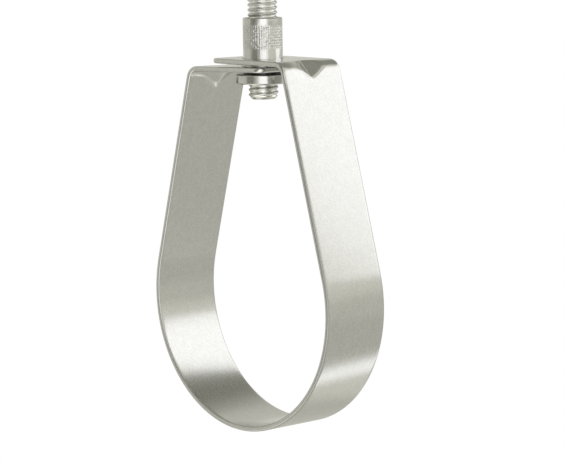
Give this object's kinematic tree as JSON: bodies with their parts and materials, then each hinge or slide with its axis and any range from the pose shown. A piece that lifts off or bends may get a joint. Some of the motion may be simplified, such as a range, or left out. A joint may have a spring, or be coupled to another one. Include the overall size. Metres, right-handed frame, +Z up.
{
  "type": "sprinkler pipe hanger",
  "caption": "Teardrop loop of folded strip steel that hangs a pipe from a threaded rod, with overlapping top tabs and a flanged, knurled swivel nut.",
  "frame": {"origin": "middle of the flat top face of the threaded rod, where whatever holds the rod begins", "axes": "+Z up along the rod, X in the plane of the loop, Y across the strip along the pipe"},
  "size_m": [0.0832, 0.0244, 0.1697],
  "materials": {
    "strip_steel": "zinc-plated strip, satin, fine speckled grain",
    "nut_steel": "zinc-plated, turned and knurled",
    "rod_steel": "zinc-plated, rolled thread"
  },
  "bodies": {
    "rod": {"threaded_rod": "rod_steel"},
    "loop": {"band": "strip_steel"},
    "nut": {"knurled_nut": "nut_steel"}
  },
  "joints": [
    {"name": "nut_turn", "type": "hinge", "parent": "loop", "child": "nut", "pos_m": [0, 0, -0.0555], "axis": [0, 0, 1], "range_deg": [-1081, 5401]},
    {"name": "height_adjust", "type": "slide", "parent": "rod", "child": "loop", "axis": [0, 0, 1], "range_m": [-0.00476, 0.02381]}
  ],
  "couplings": [
    {"joint": "nut_turn", "follows": "height_adjust", "rad_per_m": 3957.9}
  ]
}
